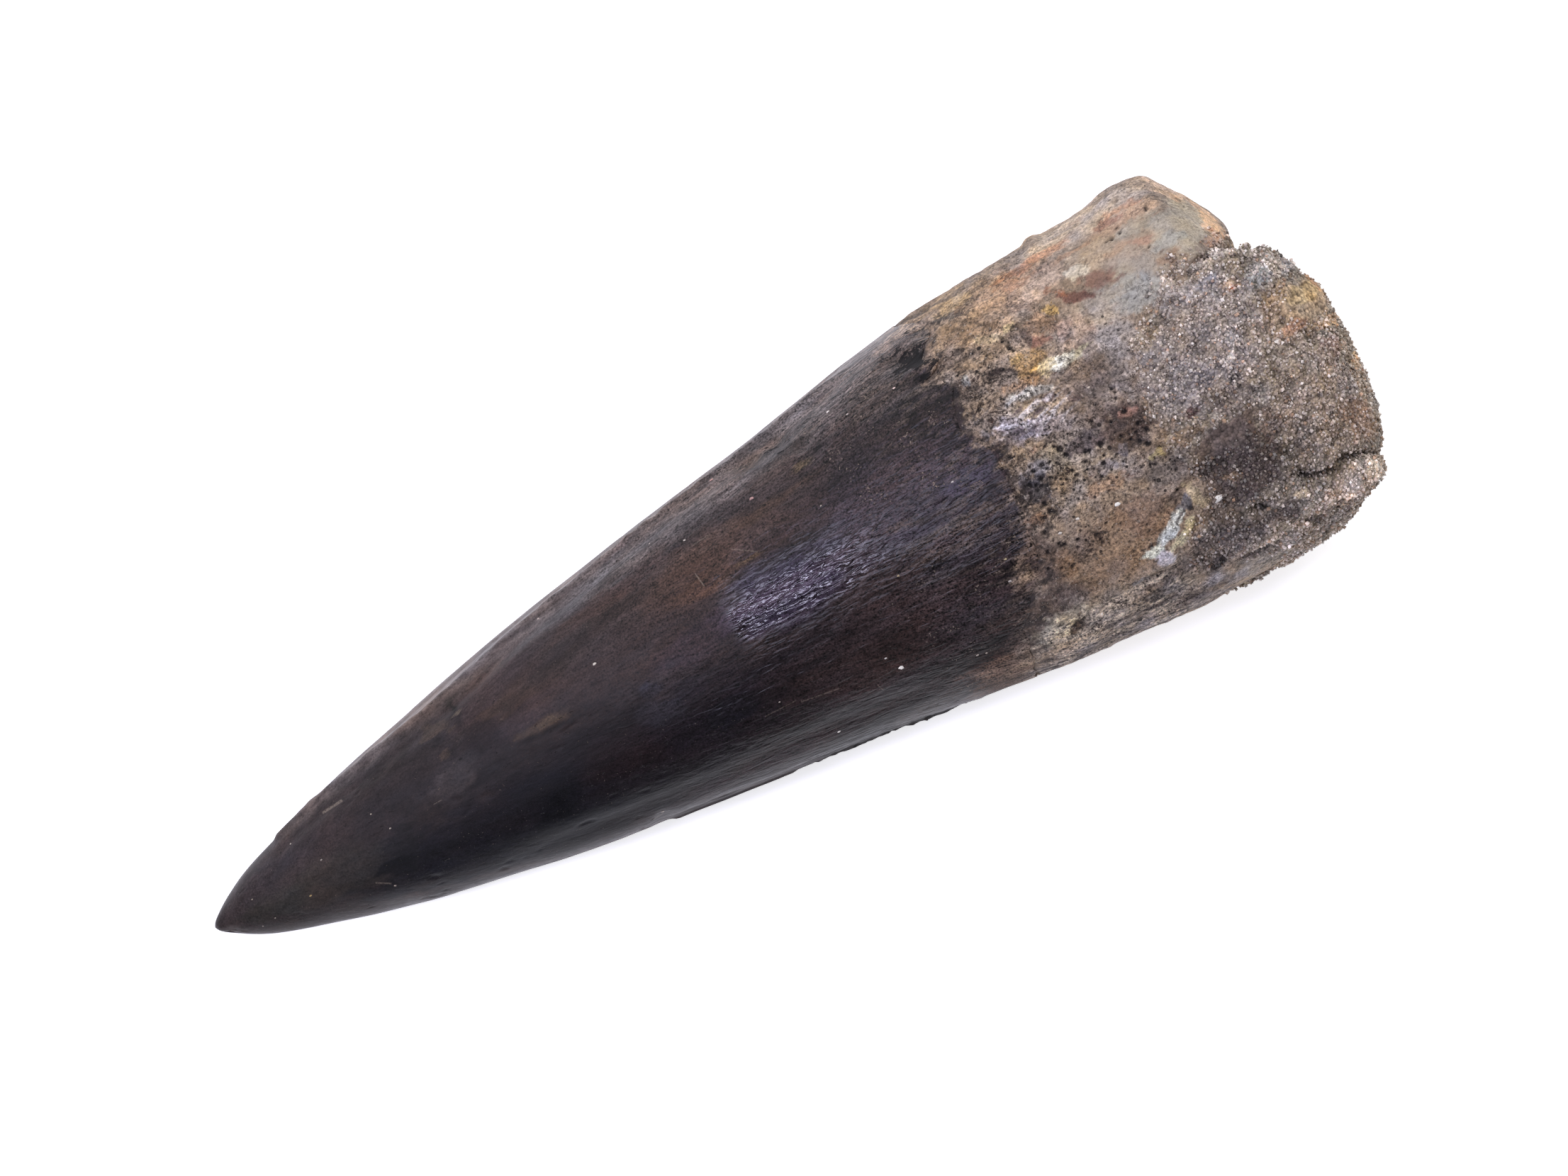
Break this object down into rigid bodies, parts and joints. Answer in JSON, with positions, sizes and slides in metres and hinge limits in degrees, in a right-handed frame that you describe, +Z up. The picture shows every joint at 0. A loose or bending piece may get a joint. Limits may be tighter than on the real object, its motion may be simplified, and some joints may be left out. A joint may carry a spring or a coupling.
{
  "type": "fossil tooth",
  "caption": "Long, nearly straight conical fossil reptile tooth with an enamelled crown and a broken root filled and coated with sandstone, lying on its side.",
  "frame": {"origin": "centre of the tooth's footprint, on the surface that it lies on", "axes": "+X from the tip to the root along the tooth, +Z up, +Y to the flank where the root's broken wall shows"},
  "size_m": [0.0998, 0.0322, 0.0252],
  "materials": {
    "fossil": "dark glossy brown enamel, tan mottled root and gritty grey-brown sandstone"
  },
  "bodies": {
    "root": {"tooth": "fossil"}
  },
  "joints": []
}
